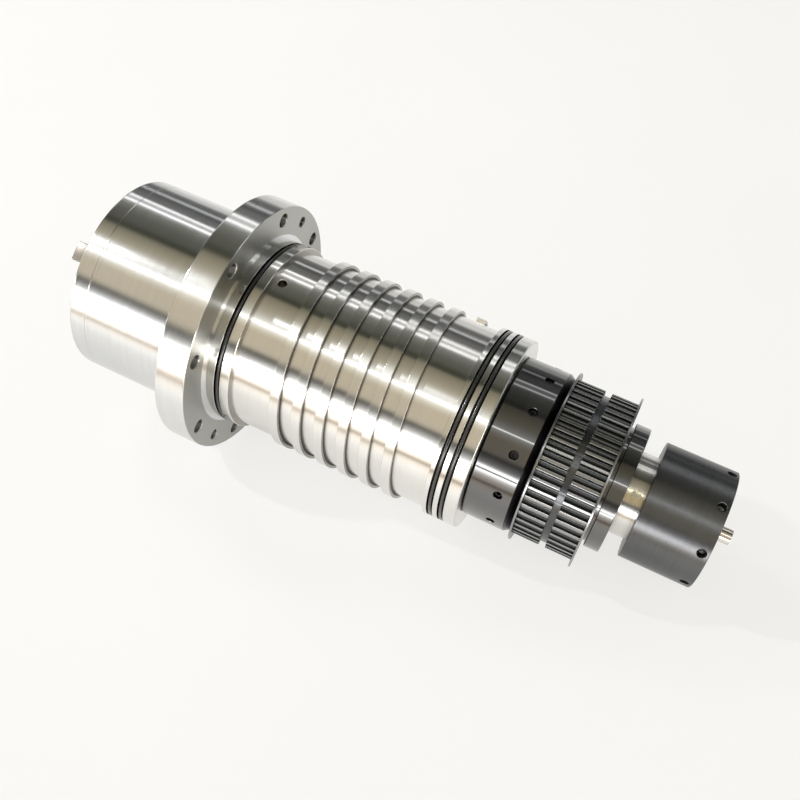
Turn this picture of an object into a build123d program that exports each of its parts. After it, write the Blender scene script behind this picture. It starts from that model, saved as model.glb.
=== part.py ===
from build123d import *
import os
from math import cos, pi, radians, sin

# Belt-driven tool spindle: a flanged cartridge that carries a 40 taper nose, its bearings, a timing
# pulley and a spring-loaded drawbar. Sizes are in millimetres.
# X is the spindle axis, with the nose towards -X, and x = 0 is the flange's mounting face. Z is up.
# Angles are about +X, from +Y towards +Z.

# Play between pieces
seat_play = 0.02
bearing_play = 0.1
guide_play = 0.05
nose_gap = 0.3
ring_gap = 0.3

# How far the shape of a cut runs past the face that it opens
overrun = 1.0

# Housing outside: the pilot's size sets the barrel, the body and the rear land
pilot_diameter = 155.0
pilot_length = 21.2
barrel_step = 3.9
barrel_length = 82.25
barrel_recess = 0.3
body_step = 4.0
housing_end = 214.0
land_length = 27.0
land_chamfer = 3.0
edge_chamfer = 1.0

# Flange, which sits on the barrel
flange_diameter = 210.0
flange_thickness = 25.25

# Coolant ridge: one start, right-handed along +X, as high as the pilot
ridge_width = 7.6
ridge_pitch = 19.0
ridge_start = 44.8
ridge_rear_gap = 15.66
ridge_start_angle = -48.0
ridge_root = 1.0

# Seal grooves round the pilot and the rear land
seal_width = 4.4
seal_depth = 3.5
pilot_seal_middle = 10.9
land_seal_setbacks = (20.8, 12.0)

# Flange holes: the counterbores leave these walls to the rim and to the barrel
bolt_count = 8
bolt_first_angle = 22.5
counterbore_outer_wall = 2.25
counterbore_inner_wall = 3.85
counterbore_depth = 10.8
bolt_hole_share = 11.0 / 17.5
jack_hole_share = 8.5 / 17.5
jack_angles = (45.0, 225.0)

# Coolant port on the front of the body
port_diameter = 7.0
port_depth = 12.0
port_middle = 28.5
port_angle = 100.0

# Front bearings, a set of four, and rear bearings, a set of two
front_bore = 70.0
front_outer = 110.0
front_width = 20.0
front_inner_ring = 82.0
front_outer_ring = 98.0
front_count = 4
rear_bore = 65.0
rear_outer = 100.0
rear_width = 18.0
rear_inner_ring = 76.0
rear_outer_ring = 89.0
rear_count = 2
set_inset = 3.0
bearing_shoulder = 96.0

# Nose cap
cap_length = 14.0
cap_spigot = 7.5
cap_recess = 101.0
cap_chamfer = 1.5

# Rear bearing cover
cover_thickness = 4.0
cover_diameter = 120.0

# Spindle shaft
nose_diameter = 88.88
nose_standout = 23.0
collar_play = 2.5
collar_width = 7.0
collar_setback = 5.0
middle_diameter = 68.0
rotor_angle = 133.2

# 40 taper socket
taper_mouth = 44.45
taper_length = 65.4
taper_slope = 7.0 / 24.0
taper_relief = 5.1

# Gripper chamber and drawbar bore, behind the taper
chamber_length = 15.5
chamber_diameter = 33.0
ramp_length = 8.0
gripper_bore = 26.0
gripper_bore_length = 42.5
spring_bore = 36.0

# Front lock nut
front_nut_diameter = 90.0
front_nut_width = 16.0

# Balance ring
balance_gap = 0.9
balance_diameter = 129.4
balance_width = 37.7
balance_chamfer_width = 5.3
balance_chamfer_height = 3.2
balance_hub = 80.0
balance_hole = 6.8
balance_hole_depth = 10.0
balance_hole_count = 12
balance_hole_setback = 15.3
balance_hole_angle = 19.4

# Timing pulley: two rows of teeth, 8 mm pitch
tooth_count = 50
tooth_pitch = 8.0
pitch_line_height = 0.686
tooth_depth = 3.45
gap_mouth = 5.3
gap_floor = 2.4
row_width = 20.9
row_groove = 5.0
pulley_shoulder = 120.0
pulley_flange_diameter = 136.8
pulley_flange_thickness = 1.5
pulley_gap = 0.85

# Pulley key
key_width = 12.0
key_height = 8.0
key_length = 36.0
key_depth_in_shaft = 4.0

# Pulley lock nut
nut_neck_diameter = 92.0
nut_neck_length = 2.65
nut_diameter = 99.6
nut_width = 11.5

# Unclamp collar at the rear end
collar_ring_diameter = 91.4
collar_ring_gap = 14.1
collar_ring_length = 54.2
collar_ring_wall = 9.7
spanner_hole = 7.0
spanner_hole_depth = 9.0
spanner_hole_count = 8
spanner_hole_setback = 5.5
spanner_hole_angle = 20.0

# Drive keys at the nose
drive_key_width = 15.9
drive_key_standout = 8.0
drive_key_sunk = 8.5
drive_key_inner = 25.0
drive_key_outer = 45.5

# Drawbar
drawbar_diameter = 18.0
drawbar_tail = 11.9
tail_standout = 13.5
tail_in_shaft = 26.0
head_diameter = 25.8
head_length = 10.5
head_gap = 1.0
neck_diameter = 10.0
neck_length = 7.5
button_length = 4.0
button_diameter = 14.4
spring_collar_diameter = 35.2
spring_collar_length = 16.0
spring_collar_setback = 108.0

# Gripper fingers, drawn clamped
finger_count = 4
finger_width = 8.5
finger_tip_setback = 18.0
finger_tip_radius = 5.6
finger_hook_length = 4.0
finger_land_length = 5.0
finger_land_radius = 11.9
finger_body_radius = 10.0
finger_throat_radius = 8.0
finger_tail_front_play = 0.6
finger_tail_rear_play = 0.7

# Spring stack on the drawbar
spring_outer = 34.8
spring_inner = 18.6


# Housing sizes and places that follow from the sizes above
barrel_diameter = pilot_diameter + 2 * barrel_step
body_diameter = pilot_diameter - 2 * body_step
ridge_diameter = pilot_diameter
land_diameter = pilot_diameter
counterbore = (flange_diameter - barrel_diameter) / 2 - counterbore_outer_wall - counterbore_inner_wall
bolt_circle = flange_diameter - 2 * counterbore_outer_wall - counterbore
bolt_hole = bolt_hole_share * counterbore
jack_hole = jack_hole_share * counterbore
barrel_front = -flange_thickness - barrel_length
cap_front = barrel_front - cap_length
body_end = housing_end - land_length
land_seal_middles = [housing_end - setback for setback in land_seal_setbacks]
ridge_turns = (body_end - ridge_rear_gap - ridge_width - ridge_start) / ridge_pitch
front_set_start = barrel_front + cap_spigot
front_set_end = front_set_start + front_count * front_width
cover_start = housing_end - cover_thickness
rear_set_start = cover_start - rear_count * rear_width

# Places on the shaft, from the nose to the rear
nose_face = cap_front - nose_standout
collar_diameter = cap_recess - 2 * collar_play
collar_end = front_set_start - collar_setback
collar_start = collar_end - collar_width
taper_end = nose_face + taper_length
taper_end_radius = (taper_mouth - taper_length * taper_slope) / 2
chamber_start = taper_end + taper_relief
ramp_start = chamber_start + chamber_length
ramp_end = ramp_start + ramp_length
spring_bore_start = ramp_end + gripper_bore_length
balance_start = housing_end + balance_gap
balance_end = balance_start + balance_width
pulley_flange_start = balance_end + pulley_gap
rows_start = pulley_flange_start + pulley_flange_thickness
rows_end = rows_start + 2 * row_width + row_groove
pulley_end = rows_end + pulley_flange_thickness
nut_start = pulley_end + nut_neck_length
nut_end = nut_start + nut_width
collar_ring_start = nut_end + collar_ring_gap
collar_ring_end = collar_ring_start + collar_ring_length
shaft_end = collar_ring_end - collar_ring_wall

# Places on the drawbar and on the fingers
head_end = spring_bore_start - head_gap
head_start = head_end - head_length
button_end = head_start - neck_length
button_start = button_end - button_length
spring_collar_start = shaft_end - spring_collar_setback
spring_collar_end = spring_collar_start + spring_collar_length
tail_start = shaft_end - tail_in_shaft
drawbar_end = collar_ring_end + tail_standout
finger_tip = chamber_start + finger_tip_setback
finger_hook_end = finger_tip + finger_hook_length
finger_land_end = finger_tip + finger_land_length
finger_tail_start = button_end + finger_tail_front_play
finger_tail_end = head_start - finger_tail_rear_play


def turned(*corners):
    """Solid of revolution about X from its (x, radius) corners."""
    return revolve(make_face(Polyline(*corners, close=True)), Axis.X)


def ring(start, end, inner, outer):
    """Plain ring between two places on the axis, from two diameters."""
    return turned((start, inner / 2), (end, inner / 2), (end, outer / 2), (start, outer / 2))


def round_bar(start, end, diameter, offset=0.0, angle=0.0):
    """Cylinder along X whose axis is offset from the spindle's axis."""
    y, z = offset * cos(radians(angle)), offset * sin(radians(angle))
    middle = Plane(origin=((start + end) / 2, y, z), z_dir=(1, 0, 0))
    return middle * Cylinder(diameter / 2, end - start)


def radial_bar(x, angle, diameter, inner_radius, outer_radius):
    """Cylinder that points away from the axis at one angle."""
    out = Vector(0, cos(radians(angle)), sin(radians(angle)))
    middle = Plane(origin=out * ((inner_radius + outer_radius) / 2) + Vector(x, 0, 0), z_dir=out)
    return middle * Cylinder(diameter / 2, outer_radius - inner_radius)


def radial_block(start, end, angle, width, inner_radius, outer_radius):
    """Block along X that stands on a radius at one angle."""
    block = Box(end - start, outer_radius - inner_radius, width)
    block = Pos((start + end) / 2, (inner_radius + outer_radius) / 2, 0) * block
    return block.rotate(Axis.X, angle)


def ridge_piece(turn, turns):
    """Part of the coolant ridge, up to one turn long, bounded by four helices."""
    first = ridge_start + turn * ridge_pitch
    angle = radians(ridge_start_angle)
    low, high = body_diameter / 2 - ridge_root, ridge_diameter / 2
    corners = ((0, low), (0, high), (ridge_width, high), (ridge_width, low))

    def helix(along, radius):
        start = Plane(origin=(first + along, 0, 0), x_dir=(0, cos(angle), sin(angle)), z_dir=(1, 0, 0))
        return (start * Helix(ridge_pitch, ridge_pitch * turns, radius)).edge()

    edges = [helix(*corner) for corner in corners]
    pairs = list(zip(edges, edges[1:] + edges[:1]))
    sides = [Face.make_surface_from_curves(one, other) for one, other in pairs]
    ends = [Face(Wire([Edge.make_line(one @ end, other @ end) for one, other in pairs])) for end in (0, 1)]
    return Solid(Shell(sides + ends))


def groove_corners(middle, diameter):
    """Corners of a seal groove in a cylinder."""
    start, end = middle - seal_width / 2, middle + seal_width / 2
    top, floor = diameter / 2, diameter / 2 - seal_depth
    return [(start, top), (start, floor), (end, floor), (end, top)]


def housing():
    """Cartridge with its barrel, pilot, seal grooves, bearing bores and the coolant ridge."""
    front_radius, rear_radius = front_outer / 2 + seat_play, rear_outer / 2 + seat_play
    barrel, land = barrel_diameter / 2, land_diameter / 2
    shell = turned(
        (barrel_front, front_radius),
        (barrel_front, barrel),
        (-barrel_recess, barrel),
        (-barrel_recess, pilot_diameter / 2),
        *groove_corners(pilot_seal_middle, pilot_diameter),
        (pilot_length, pilot_diameter / 2),
        (pilot_length, body_diameter / 2),
        (body_end, body_diameter / 2),
        (body_end, land),
        *groove_corners(land_seal_middles[0], land_diameter),
        *groove_corners(land_seal_middles[1], land_diameter),
        (housing_end - land_chamfer, land),
        (housing_end, land - land_chamfer),
        (housing_end, cover_diameter / 2 + seat_play),
        (cover_start, cover_diameter / 2 + seat_play),
        (cover_start, rear_radius),
        (rear_set_start, rear_radius),
        (rear_set_start, bearing_shoulder / 2),
        (front_set_end, bearing_shoulder / 2),
        (front_set_end, front_radius),
    )
    full_turns = int(ridge_turns)
    turns = [1.0] * full_turns + [ridge_turns - full_turns]
    shell += [ridge_piece(turn, part) for turn, part in enumerate(turns)]
    port_floor = body_diameter / 2 - port_depth
    return shell - radial_bar(port_middle, port_angle, port_diameter, port_floor, pilot_diameter / 2)


def mounting_flange():
    """Flange on the barrel, with counterbored bolt holes and two jacking holes."""
    flange = ring(-flange_thickness, 0, barrel_diameter + 2 * seat_play, flange_diameter)
    middle = bolt_circle / 2
    front = -flange_thickness - overrun
    seat = -flange_thickness + counterbore_depth
    cuts = []
    for number in range(bolt_count):
        angle = bolt_first_angle + number * 360 / bolt_count
        cuts.append(round_bar(front, overrun, bolt_hole, middle, angle))
        cuts.append(round_bar(front, seat, counterbore, middle, angle))
    for angle in jack_angles:
        cuts.append(round_bar(front, overrun, jack_hole, middle, angle))
    return flange - cuts


def nose_cap():
    """Front cover: its spigot holds the bearings and its bore runs close round the nose."""
    bore = nose_diameter / 2 + nose_gap
    chamber = collar_start - nose_gap
    return turned(
        (cap_front, bore),
        (cap_front, barrel_diameter / 2 - cap_chamfer),
        (cap_front + cap_chamfer, barrel_diameter / 2),
        (barrel_front, barrel_diameter / 2),
        (barrel_front, front_outer / 2),
        (front_set_start, front_outer / 2),
        (front_set_start, cap_recess / 2),
        (chamber, cap_recess / 2),
        (chamber, bore),
    )


def seals():
    """Rings that fill the seal grooves, pressed flush as they are in use."""
    places = [(pilot_seal_middle, pilot_diameter)]
    places += [(middle, land_diameter) for middle in land_seal_middles]
    return [
        ring(middle - seal_width / 2, middle + seal_width / 2, diameter - 2 * seal_depth, diameter)
        for middle, diameter in places
    ]


def bearing_sets():
    """Start, end and ring sizes of the front set and of the rear set of bearings."""
    front = (front_bore, front_inner_ring, front_outer_ring, front_outer)
    rear = (rear_bore, rear_inner_ring, rear_outer_ring, rear_outer)
    return [(front_set_start, front_set_end, *front), (rear_set_start, cover_start, *rear)]


def bearing_outer_rings():
    return [ring(start, end, track, outer) for start, end, _, _, track, outer in bearing_sets()]


def bearing_inner_rings():
    return [ring(start, end, bore + 2 * seat_play, track) for start, end, bore, track, _, _ in bearing_sets()]


def ball_sets():
    """Envelope of the balls and cages of each set, which rolls between its rings."""
    return [
        ring(start + set_inset, end - set_inset, inner + 2 * bearing_play, outer - 2 * bearing_play)
        for start, end, _, inner, outer, _ in bearing_sets()
    ]


def rear_bearing_cover():
    return ring(cover_start, housing_end, balance_hub + 2 * ring_gap, cover_diameter)


def spindle_nose():
    """Front of the shaft, with the taper socket and the slots for the drive keys."""
    nose, collar = nose_diameter / 2, collar_diameter / 2
    front = turned(
        (nose_face, taper_mouth / 2),
        (nose_face, nose - edge_chamfer),
        (nose_face + edge_chamfer, nose),
        (collar_start, nose),
        (collar_start, collar),
        (collar_end, collar),
        (collar_end, front_inner_ring / 2),
        (front_set_start, front_inner_ring / 2),
        (front_set_start, front_bore / 2),
        (chamber_start, front_bore / 2),
        (chamber_start, taper_end_radius),
        (taper_end, taper_end_radius),
    )
    width = drive_key_width + 2 * seat_play
    floor, top = nose_face + drive_key_sunk, max(nose, drive_key_outer) + overrun
    return front - [
        radial_block(nose_face - overrun, floor, rotor_angle + turn, width, drive_key_inner, top)
        for turn in (0, 180)
    ]


def spindle_shaft():
    """Shaft behind the taper, with the gripper chamber and the spring bore."""
    rear_seat, middle = rear_bore / 2, middle_diameter / 2
    nut_end_front = front_set_end + front_nut_width
    shaft = turned(
        (chamber_start, front_bore / 2),
        (nut_end_front, front_bore / 2),
        (nut_end_front, middle),
        (rear_set_start, middle),
        (rear_set_start, rear_seat),
        (shaft_end, rear_seat),
        (shaft_end, spring_bore / 2),
        (spring_bore_start, spring_bore / 2),
        (spring_bore_start, gripper_bore / 2),
        (ramp_end, gripper_bore / 2),
        (ramp_start, chamber_diameter / 2),
        (chamber_start, chamber_diameter / 2),
    )
    start, end = pulley_key_ends()
    floor = rear_seat - key_depth_in_shaft
    return shaft - radial_block(start, end, rotor_angle, key_width + 2 * seat_play, floor, middle)


def drive_keys():
    """Two blocks that drive the tool holder, in slots across the nose."""
    return [
        radial_block(
            nose_face - drive_key_standout,
            nose_face + drive_key_sunk,
            rotor_angle + turn,
            drive_key_width,
            drive_key_inner + seat_play,
            drive_key_outer,
        )
        for turn in (0, 180)
    ]


def front_lock_nut():
    return ring(front_set_end, front_set_end + front_nut_width, front_bore + 2 * seat_play, front_nut_diameter)


def balance_ring():
    """Ring with tapped holes for balancing screws; its hub holds the rear bearings."""
    bore, rim = rear_bore / 2 + seat_play, balance_diameter / 2
    body = turned(
        (cover_start, bore),
        (cover_start, balance_hub / 2),
        (balance_start, balance_hub / 2),
        (balance_start, rim),
        (balance_end - balance_chamfer_width, rim),
        (balance_end, rim - balance_chamfer_height),
        (balance_end, bore),
    )
    return body - [
        radial_bar(
            balance_end - balance_hole_setback,
            balance_hole_angle + number * 360 / balance_hole_count,
            balance_hole,
            rim - balance_hole_depth,
            rim + overrun,
        )
        for number in range(balance_hole_count)
    ]


def tooth_gap(radius):
    """Space between two teeth, as a face across the axis, with its mouth on +Y."""
    outline = Polyline(
        (radius + overrun, -gap_mouth / 2),
        (radius, -gap_mouth / 2),
        (radius - tooth_depth, -gap_floor / 2),
        (radius - tooth_depth, gap_floor / 2),
        (radius, gap_mouth / 2),
        (radius + overrun, gap_mouth / 2),
        close=True,
    )
    return make_face(outline)


def timing_pulley():
    """Pulley with two rows of teeth and a shoulder at each end for its flanges."""
    bore = rear_bore / 2 + seat_play
    radius = tooth_count * tooth_pitch / pi / 2 - pitch_line_height
    across = Plane(origin=(0, 0, 0), x_dir=(0, 1, 0), z_dir=(1, 0, 0))
    gap = tooth_gap(radius)
    gaps = [Rot(0, 0, number * 360 / tooth_count) * gap for number in range(tooth_count)]
    section = Circle(radius) - gaps - Circle(bore)
    row = extrude(across * section, row_width)
    hub = turned(
        (balance_end, bore),
        (balance_end, pulley_shoulder / 2),
        (rows_start, pulley_shoulder / 2),
        (rows_start, radius - tooth_depth),
        (rows_end, radius - tooth_depth),
        (rows_end, pulley_shoulder / 2),
        (pulley_end, pulley_shoulder / 2),
        (pulley_end, bore),
    )
    pulley = hub + [Pos(start, 0, 0) * row for start in (rows_start, rows_end - row_width)]
    start, end = pulley_key_ends()
    top = rear_bore / 2 - key_depth_in_shaft + key_height + seat_play
    return pulley - radial_block(start, end, rotor_angle, key_width + 2 * seat_play, 0, top)


def pulley_key_ends():
    """The key lies in the middle of the two rows of teeth."""
    middle = (rows_start + rows_end) / 2
    return middle - key_length / 2, middle + key_length / 2


def pulley_key():
    start, end = pulley_key_ends()
    floor = rear_bore / 2 - key_depth_in_shaft
    return radial_block(start, end, rotor_angle, key_width, floor, floor + key_height)


def pulley_flanges():
    """Thin discs that keep the belt on the teeth."""
    inner = pulley_shoulder + 2 * seat_play
    return [
        ring(start, start + pulley_flange_thickness, inner, pulley_flange_diameter)
        for start in (pulley_flange_start, rows_end)
    ]


def pulley_lock_nut():
    bore = rear_bore / 2 + seat_play
    return turned(
        (pulley_end, bore),
        (pulley_end, nut_neck_diameter / 2),
        (nut_start, nut_neck_diameter / 2),
        (nut_start, nut_diameter / 2),
        (nut_end, nut_diameter / 2),
        (nut_end, bore),
    )


def unclamp_collar():
    """Collar that the release cylinder holds on to; its end wall guides the drawbar's tail."""
    rim = collar_ring_diameter / 2
    bore = rear_bore / 2 + seat_play
    guide = drawbar_tail / 2 + guide_play
    body = turned(
        (collar_ring_start, bore),
        (collar_ring_start, rim),
        (collar_ring_end - edge_chamfer, rim),
        (collar_ring_end, rim - edge_chamfer),
        (collar_ring_end, guide),
        (shaft_end, guide),
        (shaft_end, bore),
    )
    return body - [
        radial_bar(
            collar_ring_end - spanner_hole_setback,
            spanner_hole_angle + number * 360 / spanner_hole_count,
            spanner_hole,
            rim - spanner_hole_depth,
            rim + overrun,
        )
        for number in range(spanner_hole_count)
    ]


def drawbar():
    """Rod with the gripper's head in front, a collar for the springs and a slim tail."""
    rod = drawbar_diameter / 2
    return turned(
        (button_start, 0),
        (button_start, button_diameter / 2),
        (button_end, button_diameter / 2),
        (button_end, neck_diameter / 2),
        (head_start, neck_diameter / 2),
        (head_start, head_diameter / 2),
        (head_end, head_diameter / 2),
        (head_end, rod),
        (spring_collar_start, rod),
        (spring_collar_start, spring_collar_diameter / 2),
        (spring_collar_end, spring_collar_diameter / 2),
        (spring_collar_end, rod),
        (tail_start, rod),
        (tail_start, drawbar_tail / 2),
        (drawbar_end, drawbar_tail / 2),
        (drawbar_end, 0),
    )


def gripper_finger(number):
    """One jaw of the gripper: a hook for the tool's stud in front and a hooked tail on the drawbar."""
    outline = Polyline(
        (finger_tip, finger_tip_radius),
        (finger_hook_end, finger_tip_radius),
        (finger_hook_end + finger_throat_radius - finger_tip_radius, finger_throat_radius),
        (finger_tail_start, finger_throat_radius),
        (finger_tail_start, finger_tip_radius),
        (finger_tail_end, finger_tip_radius),
        (finger_tail_end, finger_body_radius),
        (finger_land_end, finger_body_radius),
        (finger_land_end, finger_land_radius),
        (finger_tip, finger_land_radius),
        close=True,
    )
    jaw = extrude(make_face(outline), finger_width / 2, both=True)
    return jaw.rotate(Axis.X, rotor_angle + 45 + number * 360 / finger_count)


def disc_springs():
    """Envelope of the cone springs round the drawbar, from the bore's step to the drawbar's collar."""
    return ring(spring_bore_start, spring_collar_start, spring_inner, spring_outer)


nodes = {
    "housing": housing(),
    "mounting_flange": mounting_flange(),
    "nose_cap": nose_cap(),
    "seal_rings": seals(),
    "bearing_outer_rings": bearing_outer_rings(),
    "bearing_inner_rings": bearing_inner_rings(),
    "bearing_ball_sets": ball_sets(),
    "rear_bearing_cover": rear_bearing_cover(),
    "spindle_nose": spindle_nose(),
    "spindle_shaft": spindle_shaft(),
    "drive_keys": drive_keys(),
    "front_lock_nut": front_lock_nut(),
    "balance_ring": balance_ring(),
    "timing_pulley": timing_pulley(),
    "pulley_key": pulley_key(),
    "pulley_flanges": pulley_flanges(),
    "pulley_lock_nut": pulley_lock_nut(),
    "unclamp_collar": unclamp_collar(),
    "drawbar": drawbar(),
    "disc_springs": disc_springs(),
}
for number in range(finger_count):
    nodes[f"gripper_finger_{number + 1}"] = gripper_finger(number)

os.makedirs("parts", exist_ok=True)
for name, shape in nodes.items():
    solids = shape if isinstance(shape, list) else [shape]
    export_step(Compound(children=solids) if len(solids) > 1 else solids[0], f"parts/{name}.step")
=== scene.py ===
from math import atan2, cos, hypot, pi, radians, sin, sqrt

import bmesh
import bpy
from mathutils import Matrix, Vector


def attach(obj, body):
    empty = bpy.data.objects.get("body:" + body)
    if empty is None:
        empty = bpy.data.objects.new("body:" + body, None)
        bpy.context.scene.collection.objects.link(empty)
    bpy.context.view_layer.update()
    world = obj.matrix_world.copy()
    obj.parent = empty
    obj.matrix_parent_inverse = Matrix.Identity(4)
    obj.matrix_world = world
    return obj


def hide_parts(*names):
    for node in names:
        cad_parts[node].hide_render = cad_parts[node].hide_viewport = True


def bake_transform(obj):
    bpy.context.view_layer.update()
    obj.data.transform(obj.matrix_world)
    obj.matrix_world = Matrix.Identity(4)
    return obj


# A belt-driven tool spindle in Blender. Sizes of the part are in millimetres in the model's frame and turn
# into metres where a mesh is made: X is the spindle axis with the nose towards -X, x = 0 is the flange's
# mounting face, and Z is up. Angles are about +X, from +Y towards +Z, in degrees unless a function says
# otherwise. Camera, table and lamps are in metres.

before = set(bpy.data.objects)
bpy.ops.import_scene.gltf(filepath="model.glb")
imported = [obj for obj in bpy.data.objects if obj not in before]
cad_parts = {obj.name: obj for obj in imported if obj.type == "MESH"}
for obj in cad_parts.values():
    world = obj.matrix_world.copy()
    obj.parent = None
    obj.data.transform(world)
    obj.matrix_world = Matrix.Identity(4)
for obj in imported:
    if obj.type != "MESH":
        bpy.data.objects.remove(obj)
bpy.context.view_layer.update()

MM = 0.001
ROUND = 256
ROD_SIDES = 40
SCREW_SIDES = 36
ROTOR_ANGLE = 133.2

# Housing
BARREL_FRONT = -107.5
BARREL_RADIUS = 81.4
FLANGE_FRONT = -25.25
FLANGE_RADIUS = 105.0
PILOT_RADIUS = 77.5
PILOT_END = 21.2
BODY_RADIUS = 73.5
BODY_END = 187.0
HOUSING_END = 214.0
SEAL_MIDDLES = (10.9, 193.2, 202.0)
SEAL_WIDTH = 4.9
SEAL_DEPTH = 3.5
LAND_CHAMFER = 0.8
BODY_BORE = 48.0
FRONT_BORE = 55.02
FRONT_BORE_END = -20.0
REAR_BORE = 50.02
REAR_BORE_START = 174.0
COVER_BORE = 60.02
COVER_START = 210.0
PORT_X = 28.5
PORT_ANGLE = 100.0

# Holes of the flange
BOLT_CIRCLE_RADIUS = 94.0
BOLTS = 8
FIRST_BOLT = 22.5
BOLT_HOLE = 5.5
COUNTERBORE = 8.75
COUNTERBORE_DEPTH = 10.8
JACK_ANGLES = (45.0, 225.0)
JACK_HOLE = 4.25

# Coolant ridge
RIDGE_RADIUS = 77.45
RIDGE_WIDTH = 7.6
RIDGE_PITCH = 19.0
RIDGE_START = 44.8
RIDGE_TURNS = 6.26
RIDGE_ANGLE = -48.0
RIDGE_FOOT = 1.7  # height of the painted shade at the ridge's foot

# Nose and shaft
CAP_FRONT = -121.5
CAP_END = -100.0
CAP_BORE = 44.74
CAP_RIM = 80.0  # inside this radius the cap has the finish of its face
CAP_SCREWS = 6
FIRST_CAP_SCREW = 15
CAP_SCREW_CIRCLE = 66.0
CAP_SCREW_SINK = 6.6
NOSE_FACE = -144.5
KEY_REACH = 8.0  # how far the keys stand out of the nose
KEY_DEPTH = 8.5  # how far they are let into it
KEY_WIDTH = 15.9
KEY_SCREW_CIRCLE = 34.0
KEY_SCREW_SINK = 6.0
PULLEY_KEYWAY = (260.35, 296.35)
STRAW_START = 303  # stretch of the shaft with the straw colour
STRAW_END = 345
SHAFT_END = 376.0

# Rear end
BALANCE_START = 214.9
BALANCE_END = 252.6
BALANCE_RADIUS = 64.7
BALANCE_HOLES = 12
FIRST_BALANCE_HOLE = 19.4
BALANCE_HOLES_X = 237.3
BALANCE_HOLE_DEPTH = 9.0
SHAFT_SEAT = 32.52  # bore radius of what sits on the shaft
ROWS_START = 254.95
ROW_WIDTH = 20.9
ROWS_END = 301.75
PULLEY_RADIUS = 62.976
PULLEY_HUB = 60.0
PULLEY_END = 303.25
PULLEY_FLANGE_STARTS = (253.45, ROWS_END)
PULLEY_FLANGE_RADIUS = 68.4
PULLEY_FLANGE_THICKNESS = 1.5
TEETH = 50
TOOTH_DEPTH = 3.45
NUT_START = 305.9
NUT_END = 317.4
NUT_RADIUS = 49.8
COLLAR_START = 331.5
COLLAR_END = 385.7
COLLAR_RADIUS = 45.7
COLLAR_HOLES = 8
FIRST_COLLAR_HOLE = 20
COLLAR_HOLES_X = 380.2

# Springs between the shaft's step and the drawbar's collar
SPRINGS_START = -8.0
SPRINGS_END = 268.0
SPRINGS = 96
SPRING_BORE = 9.3
SPRING_RADIUS = 17.4
SPRING_THICKNESS = 2.0
SPRING_GAP = 0.05


def around(angle, radius):
    """Point of the Y-Z plane at one angle and radius."""
    return radius * cos(radians(angle)), radius * sin(radians(angle))


# Shader helpers

def new_material(name):
    material = bpy.data.materials.new(name)
    material.use_nodes = True
    nodes = material.node_tree.nodes
    nodes.clear()
    output = nodes.new("ShaderNodeOutputMaterial")
    shader = nodes.new("ShaderNodeBsdfPrincipled")
    material.node_tree.links.new(shader.outputs["BSDF"], output.inputs["Surface"])
    return material, shader


def maths(tree, operation, first, second=None):
    node = tree.nodes.new("ShaderNodeMath")
    node.operation = operation
    for number, value in enumerate((first, second)):
        if value is None:
            continue
        if isinstance(value, (int, float)):
            node.inputs[number].default_value = value
        else:
            tree.links.new(value, node.inputs[number])
    return node.outputs[0]


def ramp(tree, source, stops):
    node = tree.nodes.new("ShaderNodeValToRGB")
    elements = node.color_ramp.elements
    while len(elements) < len(stops):
        elements.new(1.0)
    for element, (place, colour) in zip(elements, stops):
        element.position = place
        element.color = (*colour, 1.0)
    tree.links.new(source, node.inputs["Fac"])
    return node.outputs["Color"]


def noise(tree, vector, scale, detail, rough):
    node = tree.nodes.new("ShaderNodeTexNoise")
    node.inputs["Scale"].default_value = scale
    node.inputs["Detail"].default_value = detail
    node.inputs["Roughness"].default_value = rough
    tree.links.new(vector, node.inputs["Vector"])
    return node.outputs["Fac"]


def scaled(tree, source, factor, base):
    """Source times factor, plus base."""
    return maths(tree, "ADD", maths(tree, "MULTIPLY", source, factor), base)


def blended(tree, first, second, share):
    """Sum of two values, in which the first has this share."""
    return scaled(tree, first, share, maths(tree, "MULTIPLY", second, 1 - share))


def add_bump(tree, shader, height, strength, distance):
    node = tree.nodes.new("ShaderNodeBump")
    node.inputs["Strength"].default_value = strength
    node.inputs["Distance"].default_value = distance
    tree.links.new(height, node.inputs["Height"])
    tree.links.new(node.outputs[0], shader.inputs["Normal"])


def glow(tree, colour, strength):
    node = tree.nodes.new("ShaderNodeEmission")
    if isinstance(colour, tuple):
        node.inputs["Color"].default_value = colour
    else:
        tree.links.new(colour, node.inputs["Color"])
    node.inputs["Strength"].default_value = strength
    return node.outputs[0]


def mix_shaders(tree, share, first, second):
    """Mix of two shaders, of which the second has the share; a missing one counts as black."""
    node = tree.nodes.new("ShaderNodeMixShader")
    if isinstance(share, float):
        node.inputs[0].default_value = share
    else:
        tree.links.new(share, node.inputs[0])
    for socket, source in zip(node.inputs[1:], (first, second)):
        if source is not None:
            tree.links.new(source, socket)
    return node.outputs[0]


def add_shaders(tree, first, second):
    node = tree.nodes.new("ShaderNodeAddShader")
    tree.links.new(first, node.inputs[0])
    tree.links.new(second, node.inputs[1])
    return node.outputs[0]


def grey(value):
    return (value, value, value)


def toned(tree, shader, source, dark, light):
    """Base colour that goes from dark to light with the source."""
    tree.links.new(ramp(tree, source, [(0.3, dark), (0.7, light)]), shader.inputs["Base Color"])


def shades(colour, spread):
    """Darker and lighter shade of a colour."""
    dark = tuple(c * (1 - spread) for c in colour)
    light = tuple(min(1.0, c * (1 + spread)) for c in colour)
    return dark, light


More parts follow.
